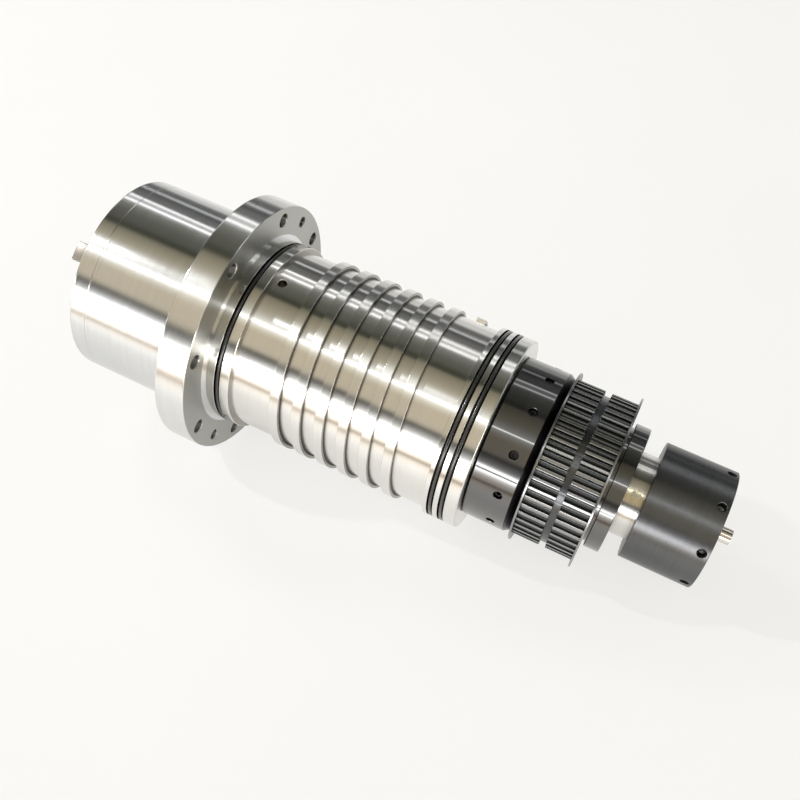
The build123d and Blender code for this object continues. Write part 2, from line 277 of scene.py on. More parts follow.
def turning_lines(tree):
    """Coordinates that change fast across the tool marks of a turned surface and slowly along them."""
    place = tree.nodes.new("ShaderNodeTexCoord").outputs["Object"]
    parts = tree.nodes.new("ShaderNodeSeparateXYZ")
    tree.links.new(place, parts.inputs[0])
    x, y, z = parts.outputs
    squares = maths(tree, "ADD", maths(tree, "MULTIPLY", y, y), maths(tree, "MULTIPLY", z, z))
    radius = maths(tree, "SQRT", squares)
    across = maths(tree, "MULTIPLY", maths(tree, "ADD", x, radius), 1000.0)
    joined = tree.nodes.new("ShaderNodeCombineXYZ")
    tree.links.new(across, joined.inputs[0])
    tree.links.new(maths(tree, "MULTIPLY", y, 14.0), joined.inputs[1])
    tree.links.new(maths(tree, "MULTIPLY", z, 14.0), joined.inputs[2])
    return place, joined.outputs[0]


def metal(name, colour, rough, lines=0.4, spread=0.06, brushed=0.6, smudge=0.05,
          metallic=1.0, edge=1.0, coat=0.0):
    """Turned or ground metal: tool marks round the axis, uneven polish and faint smudges."""
    material, shader = new_material(name)
    tree = material.node_tree
    place, marks = turning_lines(tree)
    fine = noise(tree, marks, 2.2, 3.0, 0.6)
    coarse = noise(tree, marks, 0.35, 2.0, 0.5)
    cloud = noise(tree, place, 22.0, 4.0, 0.6)
    both = blended(tree, fine, coarse, 0.6)
    toned(tree, shader, blended(tree, both, cloud, 0.6), *shades(colour, spread))
    uneven = scaled(tree, both, 0.06, maths(tree, "MULTIPLY", cloud, smudge))
    base = max(rough - 0.03 - smudge / 2, 0.01)
    tree.links.new(maths(tree, "ADD", uneven, base), shader.inputs["Roughness"])
    shader.inputs["Metallic"].default_value = metallic
    shader.inputs["Coat Weight"].default_value = coat
    shader.inputs["Coat Roughness"].default_value = 0.05
    shader.inputs["Coat IOR"].default_value = 2.1
    shader.inputs["Specular Tint"].default_value = (*grey(edge), 1.0)
    shader.inputs["Anisotropic"].default_value = brushed
    shader.inputs["Anisotropic Rotation"].default_value = 0.25
    tangent = tree.nodes.new("ShaderNodeTangent")
    tangent.direction_type = "RADIAL"
    tangent.axis = "X"
    tree.links.new(tangent.outputs[0], shader.inputs["Tangent"])
    add_bump(tree, shader, both, lines, 0.0004)
    return material


def plain_metal(name, colour, rough):
    """Milled or cast metal with an even fine grain."""
    material, shader = new_material(name)
    tree = material.node_tree
    place = tree.nodes.new("ShaderNodeTexCoord").outputs["Object"]
    fine = noise(tree, place, 900.0, 3.0, 0.6)
    cloud = noise(tree, place, 60.0, 3.0, 0.6)
    toned(tree, shader, blended(tree, fine, cloud, 0.5), *shades(colour, 0.08))
    tree.links.new(scaled(tree, cloud, 0.12, rough - 0.06), shader.inputs["Roughness"])
    shader.inputs["Metallic"].default_value = 1.0
    add_bump(tree, shader, fine, 0.35, 0.0002)
    return material


mirror_steel = metal("polished_body_steel", (0.76, 0.75, 0.73), 0.175, lines=0.03, brushed=1.0, smudge=0.02)
ridge_steel = metal("ground_ridge_steel", (0.75, 0.745, 0.725), 0.22, lines=0.1, brushed=0.9, smudge=0.05)
land_steel = metal("ground_land_steel", (0.74, 0.735, 0.715), 0.15, lines=0.12, brushed=0.9, smudge=0.05)
# Turned steel darkened to 0.4 as painted shade on the ridge flanks, the shoulders and the port hole's walls
shaded_flank_steel = metal("turned_flank_painted_shade", (0.40, 0.385, 0.35), 0.26, lines=0.2, brushed=0.0, smudge=0.06)
# Near-black steel: painted shade in the corners at the ridge's foot and on the walls and floors of the seal
# grooves
painted_shade_dark = metal("painted_corner_shade", (0.03, 0.029, 0.025), 0.4, lines=0.1, brushed=0.0)
flange_steel = metal("turned_flange_steel", (0.74, 0.74, 0.735), 0.16, lines=0.25, brushed=0.7, smudge=0.08)
barrel_steel = metal("ground_barrel_steel", (0.73, 0.735, 0.74), 0.15, lines=0.2, brushed=0.7, smudge=0.07)
face_steel = metal("turned_face_steel", (0.42, 0.42, 0.395), 0.3, lines=0.35, brushed=0.9, smudge=0.06)
shaft_steel = metal("shaft_steel", (0.70, 0.69, 0.66), 0.24, lines=0.3, brushed=0.9, smudge=0.06)
black_gloss = metal(
    "glossy_black_oxide", (0.018, 0.018, 0.02), 0.34, lines=0.1, brushed=0.6, spread=0.15, smudge=0.08,
    metallic=0.5, edge=0.4, coat=1.0,
)
black_soft = metal("black_oxide_face", (0.022, 0.022, 0.024), 0.3, lines=0.3, spread=0.15)
collar_dark = metal(
    "satin_dark_collar", (0.118, 0.121, 0.126), 0.29, lines=0.3, spread=0.14, brushed=0.5, smudge=0.08,
    metallic=0.9, edge=0.8,
)
belt_dark = metal("tooth_steel", (0.09, 0.095, 0.1), 0.28, lines=0.15, spread=0.15, brushed=0.3)
# Light steel as a painted highlight on the tops of the teeth and the rims of the pulley flanges
highlight_land_steel = metal("tooth_land_painted_highlight", (0.31, 0.315, 0.32), 0.22, lines=0.15, brushed=0.3)
groove_mid = metal("row_groove_steel", (0.10, 0.105, 0.11), 0.3, lines=0.3)
tail_steel = metal("drawbar_steel", (0.74, 0.70, 0.64), 0.16, lines=0.2)
key_steel = plain_metal("hardened_key_steel", (0.31, 0.285, 0.255), 0.4)
screw_black = plain_metal("black_screws", (0.06, 0.06, 0.065), 0.35)
bearing_steel = plain_metal("bearing_steel", (0.68, 0.68, 0.69), 0.15)
spring_steel = plain_metal("spring_steel", (0.32, 0.3, 0.28), 0.35)


def rubber_material():
    material, shader = new_material("oiled_seal_rubber")
    tree = material.node_tree
    place = tree.nodes.new("ShaderNodeTexCoord").outputs["Object"]
    fine = noise(tree, place, 700.0, 3.0, 0.6)
    toned(tree, shader, fine, grey(0.012), grey(0.03))
    tree.links.new(scaled(tree, fine, 0.1, 0.16), shader.inputs["Roughness"])
    shader.inputs["IOR"].default_value = 1.7
    add_bump(tree, shader, fine, 0.2, 0.0001)
    return material


seal_black = rubber_material()


def patchy_stub_material():
    """Shaft end between nut and collar: straw-coloured steel with dull rubbed patches."""
    material, shader = new_material("straw_shaft_end")
    tree = material.node_tree
    place, marks = turning_lines(tree)
    patches = noise(tree, place, 95.0, 3.0, 0.55)
    fine = noise(tree, marks, 2.0, 3.0, 0.6)
    edge = ramp(tree, patches, [(0.50, grey(0.0)), (0.56, grey(1.0))])
    mix = tree.nodes.new("ShaderNodeMix")
    mix.data_type = "RGBA"
    colours = [socket for socket in mix.inputs if socket.type == "RGBA"]
    tree.links.new(edge, mix.inputs[0])
    tree.links.new(ramp(tree, fine, [(0.3, (0.50, 0.46, 0.34)), (0.7, (0.64, 0.59, 0.45))]), colours[0])
    tree.links.new(ramp(tree, fine, [(0.3, (0.36, 0.33, 0.24)), (0.7, (0.50, 0.47, 0.36))]), colours[1])
    result = [socket for socket in mix.outputs if socket.type == "RGBA"][0]
    tree.links.new(result, shader.inputs["Base Color"])
    tree.links.new(scaled(tree, edge, 0.25, 0.14), shader.inputs["Roughness"])
    shader.inputs["Metallic"].default_value = 1.0
    add_bump(tree, shader, scaled(tree, fine, 0.2, patches), 0.5, 0.0005)
    return material


stub_steel = patchy_stub_material()


# Mesh helpers

def eased(corners):
    """Outline with its marked corners rounded: a corner is (x, radius) or (x, radius, size of the round)."""
    steps = 3
    points = []
    count = len(corners)
    for number, corner in enumerate(corners):
        here = Vector(corner[:2])
        if len(corner) == 2:
            points.append(here)
            continue
        before = Vector(corners[number - 1][:2]) - here
        after = Vector(corners[(number + 1) % count][:2]) - here
        start = here + before.normalized() * corner[2]
        end = here + after.normalized() * corner[2]
        for step in range(steps + 1):
            t = step / steps
            points.append(start * (1 - t) ** 2 + here * (2 * t * (1 - t)) + end * t ** 2)
    return points


def add_object(name, mesh, materials):
    for material in materials:
        mesh.materials.append(material)
    thing = bpy.data.objects.new(name, mesh)
    bpy.context.scene.collection.objects.link(thing)
    return thing


def mesh_from(name, shape):
    """Mesh of a bmesh, with its faces turned outwards."""
    bmesh.ops.recalc_face_normals(shape, faces=shape.faces)
    mesh = bpy.data.meshes.new(name)
    shape.to_mesh(mesh)
    shape.free()
    return mesh


def mesh_of(name, verts, faces):
    """Mesh of lists of corners and faces, with its faces turned outwards."""
    mesh = bpy.data.meshes.new(name)
    mesh.from_pydata(verts, [], faces)
    shape = bmesh.new()
    shape.from_mesh(mesh)
    bmesh.ops.recalc_face_normals(shape, faces=shape.faces)
    shape.to_mesh(mesh)
    shape.free()
    return mesh


def on_ring(x, radius, angle):
    """Place in metres on a ring about the axis, at an angle in radians."""
    return x * MM, radius * MM * cos(angle), radius * MM * sin(angle)


def lathe(name, corners, materials, segments=ROUND):
    """Closed solid of revolution about X."""
    shape = bmesh.new()
    rings = []
    for x, radius in eased(corners):
        if radius < 1e-6:
            pole = shape.verts.new((x * MM, 0, 0))
            rings.append([pole] * segments)
            continue
        places = [on_ring(x, radius, 2 * pi * k / segments) for k in range(segments)]
        rings.append([shape.verts.new(place) for place in places])
    for one, other in zip(rings, rings[1:] + rings[:1]):
        for k in range(segments):
            n = (k + 1) % segments
            loop = []
            for vertex in (one[k], one[n], other[n], other[k]):
                if vertex not in loop:
                    loop.append(vertex)
            if len(loop) > 2:
                shape.faces.new(loop)
    return add_object(name, mesh_from(name, shape), materials)


def smooth_round(thing):
    """Shade revolved faces as true surfaces of revolution, and leave the other faces as they are."""
    limit = 0.03  # of the normal's part across the radius, above which a face isn't a revolved one
    mesh = thing.data
    mesh.polygons.foreach_set("use_smooth", [True] * len(mesh.polygons))
    normals = [None] * len(mesh.loops)
    for face in mesh.polygons:
        normal, centre = face.normal, face.center
        length = hypot(centre.y, centre.z)
        slip = 1.0
        if length > 1e-6:
            slip = abs(normal.z * centre.y - normal.y * centre.z) / length
        outward = normal.y * centre.y + normal.z * centre.z >= 0
        flat = hypot(normal.y, normal.z) * (1 if outward else -1)
        for index in face.loop_indices:
            place = mesh.vertices[mesh.loops[index].vertex_index].co
            size = hypot(place.y, place.z)
            if slip < limit and size > 1e-6:
                normals[index] = Vector((normal.x, flat * place.y / size, flat * place.z / size))
            else:
                normals[index] = normal.copy()
    mesh.normals_split_custom_set(normals)


def paint(thing, pick):
    """Give each face the material number that pick returns for its centre in mm and its normal."""
    for face in thing.data.polygons:
        face.material_index = pick(face.center / MM, face.normal)


def close_rod(shape, rings):
    """Faces from each ring of corners to the next, and over both ends."""
    shape.faces.new(rings[0][::-1])
    shape.faces.new(rings[-1])
    for one, two in zip(rings, rings[1:]):
        for k in range(len(one)):
            n = (k + 1) % len(one)
            shape.faces.new((one[k], one[n], two[n], two[k]))


def stepped_rod(shape, base, axis, stations):
    """Closed stepped cylinder: stations are (distance along the axis, radius) from one end to the other."""
    axis = axis.normalized()
    side = axis.orthogonal().normalized()
    other = axis.cross(side)
    rings = []
    for along, radius in stations:
        middle = base + axis * along
        ring = []
        for k in range(ROD_SIDES):
            angle = 2 * pi * k / ROD_SIDES
            place = middle + side * (radius * cos(angle)) + other * (radius * sin(angle))
            ring.append(shape.verts.new(place * MM))
        rings.append(ring)
    close_rod(shape, rings)


def cut(thing, shape):
    """Cut closed, separate shapes out of a piece."""
    tool = add_object("cutter", mesh_from("cutter", shape), [])
    modifier = thing.modifiers.new("cut", "BOOLEAN")
    modifier.operation = "DIFFERENCE"
    modifier.solver = "EXACT"
    modifier.object = tool
    bpy.context.view_layer.update()
    result = bpy.data.meshes.new_from_object(thing.evaluated_get(bpy.context.evaluated_depsgraph_get()))
    thing.modifiers.clear()
    old = thing.data
    thing.data = result
    result.name = thing.name
    bpy.data.meshes.remove(old)
    bpy.data.meshes.remove(tool.data)


def radial_hole(shape, x, angle, surface, radius, depth, chamfer):
    """Blind hole with a drill point and a chamfered mouth, that goes in from a round surface."""
    y, z = around(angle, 1.0)
    out = Vector((0, y, z))
    mouth = radius + chamfer + 0.35
    stations = [
        (-depth - radius * 0.5, 0.05), (-depth, radius), (-chamfer, radius), (0.35, mouth), (2.0, mouth),
    ]
    stepped_rod(shape, Vector((x, 0, 0)) + out * surface, out, stations)


def axial_hole(shape, start, end, angle, offset, radius, chamfer, step=None):
    """Through hole along X with chamfered mouths; step is (x, radius) of a counterbore from the start."""
    y, z = around(angle, offset)
    base = Vector((0, y, z))
    wide = radius if step is None else step[1]
    stations = [(start - 1, wide + chamfer + 1), (start + chamfer, wide)]
    if step is not None:
        stations += [(step[0], wide), (step[0], radius)]
    stations += [(end - chamfer, radius), (end + 1, radius + chamfer + 1)]
    stepped_rod(shape, base, Vector((1, 0, 0)), stations)


def ride_all(body, *things):
    for thing in things:
        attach(thing, body)


# Camera and stage

# Brightness of the table as the metal mirrors it, by its place across the spindle in metres, painted into its
# glow: a painted reflection of the window in front, a dark seam, then pale table with a painted shadow under
# the part, and darker again at the back
FLOOR_GLEAM = [
    (-2.0, (9.0, 8.9, 8.8)), (-1.6, (8.0, 7.9, 7.7)), (-1.1, (5.5, 5.4, 5.2)), (-0.87, (3.4, 3.3, 3.1)),
    (-0.62, (1.9, 1.78, 1.6)), (-0.51, (1.35, 1.23, 1.07)), (-0.46, (1.2, 1.08, 0.93)),
    (-0.425, (0.70, 0.57, 0.44)), (-0.405, (0.40, 0.32, 0.24)), (-0.38, (0.40, 0.32, 0.24)),
    (-0.355, (0.80, 0.66, 0.52)), (-0.325, (1.1, 0.99, 0.86)), (-0.285, (1.17, 1.11, 1.02)),
    (-0.24, (1.07, 1.05, 1.01)), (-0.19, (0.88, 0.865, 0.83)),
    (-0.14, (0.80, 0.79, 0.76)), (-0.05, (0.64, 0.635, 0.615)), (0.05, (0.58, 0.575, 0.56)),
    (0.2, (0.74, 0.735, 0.72)), (0.4, (0.72, 0.715, 0.70)), (2.0, (0.5, 0.5, 0.49)),
]


CAMERA_PLACE = (0.2957, -0.4868, 0.5445)
CAMERA_RIGHT = (0.8921, 0.4360, 0.1186)
CAMERA_UP = (-0.3960, 0.6280, 0.6700)
CAMERA_BACK = (0.2177, -0.6447, 0.7329)
FOCAL_LENGTH = 42.81
SENSOR_WIDTH = 36.0

# Half the table's side, its height under the middle of the frame and its rise along X
TABLE_REACH = 4.0
TABLE_HEIGHT = -0.1052
TABLE_SLOPE = 0.1207


def place_camera():
    lens = bpy.data.cameras.new("camera")
    lens.sensor_fit = "HORIZONTAL"
    lens.sensor_width = SENSOR_WIDTH
    lens.lens = FOCAL_LENGTH
    lens.clip_start = 0.01
    lens.clip_end = 50.0
    camera = bpy.data.objects.new("camera", lens)
    turn = Matrix((CAMERA_RIGHT, CAMERA_UP, CAMERA_BACK)).transposed().to_4x4()
    camera.matrix_world = Matrix.Translation(CAMERA_PLACE) @ turn
    bpy.context.scene.collection.objects.link(camera)
    bpy.context.scene.camera = camera


def make_floor():
    """Pale table top that the flange and the rear pulley flange stand on; its far front edge gleams as a
    painted reflection.
    """
    reach = TABLE_REACH
    corners = [(-reach, -reach), (reach, -reach), (reach, reach), (-reach, reach)]
    mesh = bpy.data.meshes.new("floor")
    mesh.from_pydata([(x, y, TABLE_HEIGHT + TABLE_SLOPE * x) for x, y in corners], [], [(0, 1, 2, 3)])
    material, shader = new_material("pale_table")
    tree = material.node_tree
    place = tree.nodes.new("ShaderNodeTexCoord").outputs["Object"]
    toned(tree, shader, noise(tree, place, 3.0, 3.0, 0.5), (0.80, 0.79, 0.765), (0.84, 0.835, 0.815))
    shader.inputs["Roughness"].default_value = 0.7
    shader.inputs["Specular IOR Level"].default_value = 0.1
    parts = tree.nodes.new("ShaderNodeSeparateXYZ")
    tree.links.new(place, parts.inputs[0])
    across = maths(tree, "SUBTRACT", parts.outputs[1], maths(tree, "MULTIPLY", parts.outputs[0], 0.275))
    gleam = ramp(tree, scaled(tree, across, 0.25, 0.5), [(0.5 + y / 4, colour) for y, colour in FLOOR_GLEAM])
    seen = glow(tree, (0.985, 0.978, 0.957, 1.0), 0.768)
    # for mirrored rays the table glows with a painted reflection of the window and a painted shadow under the
    # part
    mirrored = glow(tree, gleam, 1.0)
    path = tree.nodes.new("ShaderNodeLightPath")
    light = mix_shaders(tree, path.outputs["Is Camera Ray"], mirrored, seen)
    dim = mix_shaders(tree, 0.75, shader.outputs[0], None)
    direct = maths(tree, "MAXIMUM", path.outputs["Is Camera Ray"], path.outputs["Is Glossy Ray"])
    whole = mix_shaders(tree, direct, shader.outputs[0], add_shaders(tree, dim, light))
    output = [node for node in tree.nodes if node.type == "OUTPUT_MATERIAL"][0]
    tree.links.new(whole, output.inputs["Surface"])
    add_object("floor", mesh, [material])


# Colour of the room by angle about +X: behind the spindle, then in front of it
ROOM_BEHIND = [
    (-90, grey(0.9)), (-30, (0.95, 0.95, 0.93)), (-20, grey(0.78)), (-6, (0.72, 0.72, 0.70)),
    (2, (0.74, 0.74, 0.72)), (5, (0.19, 0.19, 0.185)), (12, (0.15, 0.15, 0.145)), (24, (0.075, 0.078, 0.08)),
    (29, (0.1, 0.1, 0.098)), (32, (0.17, 0.17, 0.165)), (41, (0.17, 0.172, 0.165)), (45, (0.48, 0.48, 0.47)),
    (55, (0.45, 0.45, 0.43)), (58, (0.23, 0.23, 0.205)), (64, (0.185, 0.185, 0.16)),
    (70, (0.135, 0.135, 0.112)), (79, (0.105, 0.106, 0.085)), (83, (0.058, 0.06, 0.045)),
    (87, (0.062, 0.063, 0.046)), (89.5, (0.24, 0.22, 0.16)), (90, grey(0.0)),
]
ROOM_AHEAD = [
    (89.5, grey(0.0)), (90, (0.25, 0.23, 0.165)), (97, (0.35, 0.31, 0.22)), (105, (0.44, 0.40, 0.295)),
    (112, (0.58, 0.54, 0.44)), (118, (0.86, 0.83, 0.76)), (121, (1.15, 1.13, 1.06)), (127, (1.15, 1.11, 1.0)),
    (131, (0.84, 0.77, 0.62)), (136, (0.66, 0.58, 0.44)), (144, (0.67, 0.585, 0.44)),
    (154, (0.66, 0.58, 0.45)), (157.5, (0.42, 0.38, 0.30)), (159.8, (0.15, 0.145, 0.12)),
    (162.5, (0.165, 0.16, 0.145)), (167, (0.44, 0.43, 0.41)), (170, (0.72, 0.71, 0.69)),
    (172.5, (1.1, 1.09, 1.06)), (174.5, (3.0, 2.97, 2.93)), (177, (9.0, 8.9, 8.8)), (180, (9.0, 8.9, 8.8)),
]
# Strip lamps: angle, half width, brightness
STRIP_LAMPS = ((21.0, 1.3, 0.75), (44.0, 0.8, 1.9), (52.3, 1.1, 1.7), (124.2, 0.5, 5.5))
# How far the lamps behind lean with the X part of the direction, in degrees
LAMP_LEAN = [
    (-0.6, -8.5), (-0.335, 0.0), (-0.16, 5.6), (-0.125, 3.2),
    (-0.1, 2.4), (0.0, 0.6), (0.1, 2.4), (0.6, 3.0),
]


def angle_stops(stops):
    return [(angle / 360 + 0.5, colour) for angle, colour in stops]


def room_angle(tree, x, y, z):
    """Angle about +X as a share of a turn, sheared behind the spindle, where the lamps lean."""
    turn = maths(tree, "DIVIDE", maths(tree, "ARCTAN2", z, y), 2 * pi)
    half = maths(tree, "ADD", turn, 0.5)
    leans = [(0.5 + 0.5 * part, grey((shift + 10) / 20)) for part, shift in LAMP_LEAN]
    lean = ramp(tree, scaled(tree, x, 0.5, 0.5), leans)
    degrees = maths(tree, "SUBTRACT", maths(tree, "MULTIPLY", lean, 20.0), 10.0)
    fade = [(62, grey(1.0)), (80, grey(0.3)), (110, grey(0.3)), (118, grey(0.0))]
    share = ramp(tree, half, angle_stops(fade))
    shift = maths(tree, "DIVIDE", maths(tree, "MULTIPLY", degrees, share), 360.0)
    return maths(tree, "SUBTRACT", half, shift)


def make_world():
    """Room with a dim ceiling, strip lamps that run along the spindle and a bright window in front."""
    world = bpy.data.worlds.new("room")
    bpy.context.scene.world = world
    world.use_nodes = True
    tree = world.node_tree
    tree.nodes.clear()
    direction = tree.nodes.new("ShaderNodeTexCoord").outputs["Generated"]
    parts = tree.nodes.new("ShaderNodeSeparateXYZ")
    tree.links.new(direction, parts.inputs[0])
    angle = room_angle(tree, *parts.outputs)
    lamps = []
    for middle, half, bright in STRIP_LAMPS:
        lamps += [
            (middle - half - 0.5, grey(0.0)), (middle - half, grey(bright)),
            (middle + half, grey(bright)), (middle + half + 0.5, grey(0.0)),
        ]
    rooms = []
    for stops in (ROOM_BEHIND, ROOM_AHEAD, lamps):
        node = tree.nodes.new("ShaderNodeBackground")
        tree.links.new(ramp(tree, angle, angle_stops(stops)), node.inputs["Color"])
        rooms.append(node.outputs[0])
    behind, ahead, strips = rooms
    room = add_shaders(tree, add_shaders(tree, behind, ahead), strips)
    pale = tree.nodes.new("ShaderNodeBackground")
    pale.inputs["Color"].default_value = (0.97, 0.965, 0.95, 1.0)
    pale.inputs["Strength"].default_value = 0.98
    path = tree.nodes.new("ShaderNodeLightPath")
    output = tree.nodes.new("ShaderNodeOutputWorld")
    both = mix_shaders(tree, path.outputs["Is Camera Ray"], room, pale.outputs[0])
    tree.links.new(both, output.inputs["Surface"])


def area_lamp(name, place, size, power, colour, mirrored):
    """Square lamp that points at the middle of the spindle; mirrored ones show in the metal."""
    lamp = bpy.data.lights.new(name, "AREA")
    lamp.size = size
    lamp.energy = power
    lamp.color = colour
    thing = bpy.data.objects.new(name, lamp)
    thing.location = place
    aim = Vector((0.1, 0, 0)) - Vector(place)
    thing.rotation_euler = aim.to_track_quat("-Z", "Y").to_euler()
    thing.visible_glossy = mirrored
    bpy.context.scene.collection.objects.link(thing)


# Pieces of the housing

def groove(middle, radius):
    """Corners of a seal groove in an outline."""
    low, high = middle - SEAL_WIDTH / 2, middle + SEAL_WIDTH / 2
    return [(low, radius, 0.3), (low, radius - SEAL_DEPTH), (high, radius - SEAL_DEPTH), (high, radius, 0.3)]


def make_housing():
    shell = lathe("housing_shell", [
        (BARREL_FRONT, FRONT_BORE),
        (BARREL_FRONT, BARREL_RADIUS, 0.5),
        (-0.3, BARREL_RADIUS),
        (-0.3, PILOT_RADIUS),
        *groove(SEAL_MIDDLES[0], PILOT_RADIUS),
        (PILOT_END, PILOT_RADIUS, 0.9),
        (PILOT_END, BODY_RADIUS),
        (BODY_END, BODY_RADIUS),
        (BODY_END, PILOT_RADIUS, 0.6),
        *groove(SEAL_MIDDLES[1], PILOT_RADIUS),
        *groove(SEAL_MIDDLES[2], PILOT_RADIUS),
        (HOUSING_END - LAND_CHAMFER, PILOT_RADIUS, 0.3),
        (HOUSING_END, PILOT_RADIUS - LAND_CHAMFER, 0.3),
        (HOUSING_END, COVER_BORE),
        (COVER_START, COVER_BORE),
        (COVER_START, REAR_BORE),
        (REAR_BORE_START, REAR_BORE),
        (REAR_BORE_START, BODY_BORE),
        (FRONT_BORE_END, BODY_BORE),
        (FRONT_BORE_END, FRONT_BORE),
    ], [mirror_steel, barrel_steel, land_steel, shaded_flank_steel, painted_shade_dark])
    holes = bmesh.new()
    radial_hole(holes, PORT_X, PORT_ANGLE, BODY_RADIUS, radius=3.5, depth=12.0, chamfer=0.5)
    cut(shell, holes)
    paint(shell, housing_finish_and_shade)
    smooth_round(shell)
    ridge = ridge_band()
    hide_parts("housing")
    ride_all("housing", shell, ridge)


def housing_finish_and_shade(place, normal):
    """Number of the material on a face of the housing shell."""
    radius = hypot(place.y, place.z)
    if place.x < -0.2:
        return 1
    near_seal = any(abs(place.x - middle) < SEAL_WIDTH / 2 + 0.1 for middle in SEAL_MIDDLES)
    # walls and floors of the seal grooves: near-black painted shade
    if near_seal and radius < PILOT_RADIUS - 0.2:
        return 4
    # port hole's walls and the shoulders: steel darkened as painted shade
    if PILOT_END < place.x < BODY_END and radius < BODY_RADIUS - 0.3:
        return 3
    if abs(normal.x) > 0.9 and radius > BODY_RADIUS - 1:
        return 3
    if place.x < PILOT_END + 0.5 or place.x > BODY_END - 0.5:
        return 2
    return 0


def ridge_band():
    """Helical band with eased edges and painted shade in the corners at its foot, let into the body by a
    millimetre.
    """
    corner = BODY_RADIUS + RIDGE_FOOT
    section = eased([
        (0.0, BODY_RADIUS - 1.0),
        (0.0, corner),
        (0.0, RIDGE_RADIUS, 0.35),
        (RIDGE_WIDTH, RIDGE_RADIUS, 0.35),
        (RIDGE_WIDTH, corner),
        (RIDGE_WIDTH, BODY_RADIUS - 1.0),
    ])
    per_turn = 240
    stations = int(round(per_turn * RIDGE_TURNS))
    verts, faces = [], []
    for station in range(stations + 1):
        turns = RIDGE_TURNS * station / stations
        angle = RIDGE_ANGLE + 360 * turns
        for along, radius in section:
            y, z = around(angle, radius)
            verts.append(((RIDGE_START + RIDGE_PITCH * turns + along) * MM, y * MM, z * MM))
    count = len(section)
    for station in range(stations):
        a, b = station * count, (station + 1) * count
        for k in range(count):
            n = (k + 1) % count
            faces.append((a + k, a + n, b + n, b + k))
    faces.append(tuple(range(count)))
    faces.append(tuple(range(stations * count, (stations + 1) * count))[::-1])
    mesh = mesh_of("coolant_ridge", verts, faces)
    ridge = add_object("coolant_ridge", mesh, [ridge_steel, shaded_flank_steel, painted_shade_dark])
    paint(ridge, ridge_finish_and_shade)
    smooth_helix(ridge)
    return ridge


def ridge_finish_and_shade(place, normal):
    """Number of the material on a face of the ridge."""
    if abs(normal.x) < 0.8:
        return 0
    # lower part of each flank: near-black painted shade; the rest of the flank: steel darkened as painted
    # shade
    return 2 if hypot(place.y, place.z) < BODY_RADIUS + RIDGE_FOOT else 1


def smooth_helix(thing):
    """Shade a helical band: each strip keeps its slope and follows the turn of the helix."""
    mesh = thing.data
    mesh.polygons.foreach_set("use_smooth", [True] * len(mesh.polygons))
    normals = [None] * len(mesh.loops)
    for face in mesh.polygons:
        centre = face.center
        middle = atan2(centre.z, centre.y)
        for index in face.loop_indices:
            place = mesh.vertices[mesh.loops[index].vertex_index].co
            turn = atan2(place.z, place.y) - middle
            normal = face.normal.copy()
            if len(face.vertices) == 4:
                c, s = cos(turn), sin(turn)
                normal = Vector((normal.x, normal.y * c - normal.z * s, normal.y * s + normal.z * c))
            normals[index] = normal
    mesh.normals_split_custom_set(normals)


def make_flange():
    flange = lathe("mounting_flange", [
        (FLANGE_FRONT, BARREL_RADIUS + 0.02),
        (FLANGE_FRONT, FLANGE_RADIUS, 1.2),
        (0.0, FLANGE_RADIUS, 1.0),
        (0.0, BARREL_RADIUS + 0.02),
    ], [flange_steel, face_steel])
    holes = bmesh.new()
    step = (FLANGE_FRONT + COUNTERBORE_DEPTH, COUNTERBORE)
    for number in range(BOLTS):
        angle = FIRST_BOLT + 360 / BOLTS * number
        axial_hole(holes, FLANGE_FRONT, 0.0, angle, BOLT_CIRCLE_RADIUS, BOLT_HOLE, 0.6, step)
    for angle in JACK_ANGLES:
        axial_hole(holes, FLANGE_FRONT, 0.0, angle, BOLT_CIRCLE_RADIUS, JACK_HOLE, 0.7)
    cut(flange, holes)
    rim = FLANGE_RADIUS - 1
    paint(flange, lambda place, normal: 1 if abs(normal.x) > 0.9 or hypot(place.y, place.z) < rim else 0)
    smooth_round(flange)
    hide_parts("mounting_flange")
    ride_all("housing", flange)


def make_cap():
    cap = lathe("nose_cap", [
        (CAP_FRONT, CAP_BORE, 0.5),
        (CAP_FRONT, BARREL_RADIUS, 1.5),
        (BARREL_FRONT - 0.05, BARREL_RADIUS, 0.35),
        (BARREL_FRONT - 0.05, 55.0),
        (CAP_END, 55.0),
        (CAP_END, 50.5),
        (-112.3, 50.5),
        (-112.3, CAP_BORE),
    ], [barrel_steel, face_steel])
    holes = bmesh.new()
    screws = bmesh.new()
    floor = CAP_FRONT + CAP_SCREW_SINK
    for number in range(CAP_SCREWS):
        y, z = around(FIRST_CAP_SCREW + 360 / CAP_SCREWS * number, CAP_SCREW_CIRCLE)
        base = Vector((0, y, z))
        stations = [(CAP_FRONT - 1, 7.1), (CAP_FRONT + 0.6, 5.5), (floor, 5.5)]
        stepped_rod(holes, base, Vector((1, 0, 0)), stations)
        base += Vector((floor, 0, 0))
        socket_screw(screws, base, Vector((-1, 0, 0)), radius=5.0, height=6.0, key=2.5)
    cut(cap, holes)
    paint(cap, lambda place, normal: 1 if normal.x < -0.9 or hypot(place.y, place.z) < CAP_RIM else 0)
    smooth_round(cap)
    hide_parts("nose_cap")
    heads = screw_object("nose_cap_screws", screws)
    ride_all("housing", cap, heads)


